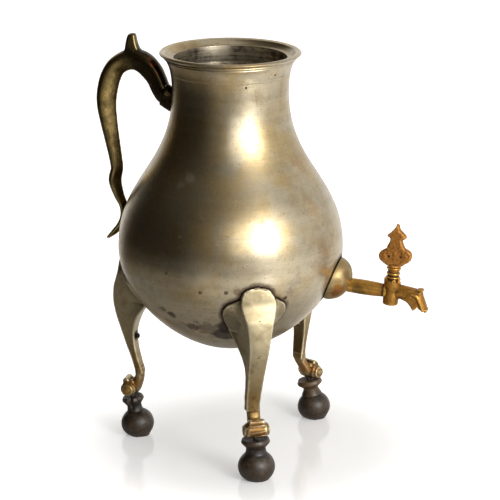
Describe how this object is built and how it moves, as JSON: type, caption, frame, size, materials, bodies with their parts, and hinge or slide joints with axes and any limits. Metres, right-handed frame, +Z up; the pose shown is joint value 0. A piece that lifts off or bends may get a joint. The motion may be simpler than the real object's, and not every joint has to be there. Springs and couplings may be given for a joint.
{
  "type": "tea urn",
  "caption": "Pear-shaped metal urn on scroll legs with turned wooden feet, with a scroll side handle and a turning key tap low on the belly.",
  "frame": {"origin": "on the table, under the middle of the whole urn's box", "axes": "+Z up along the vessel, +X towards the tap, -X towards the handle"},
  "size_m": [0.2742, 0.1824, 0.3406],
  "materials": {
    "pewter": "worn satin, lathe lines",
    "cast_pewter": "cast, brassy wear",
    "dark_bronze": "dark patina",
    "brass": "rough cast, patina",
    "wood": "ebonised, worn",
    "iron": "plain"
  },
  "bodies": {
    "urn": {"lower_body": "pewter", "upper_body": "pewter", "mouth_rim": "pewter", "tap_boss": "cast_pewter", "handle": "dark_bronze", "handle_socket": "dark_bronze", "leg_front": "cast_pewter", "foot_front": "wood", "foot_peg_front": "iron", "leg_rear": "cast_pewter", "foot_rear": "wood", "foot_peg_rear": "iron", "leg_handle_side": "cast_pewter", "foot_handle_side": "wood", "foot_peg_handle_side": "iron", "tap_pipe": "brass", "tap_barrel": "brass"},
    "plug": {"tap_plug": "brass", "tap_key": "brass", "tap_stop_pin": "brass", "plug_washer": "brass", "plug_screw": "iron"}
  },
  "joints": [
    {"name": "tap_turn", "type": "hinge", "parent": "urn", "child": "plug", "pos_m": [0.10674, -0.0001, 0.1397], "axis": [0.0906, 0, 0.9959], "range_deg": [0, 90]}
  ]
}
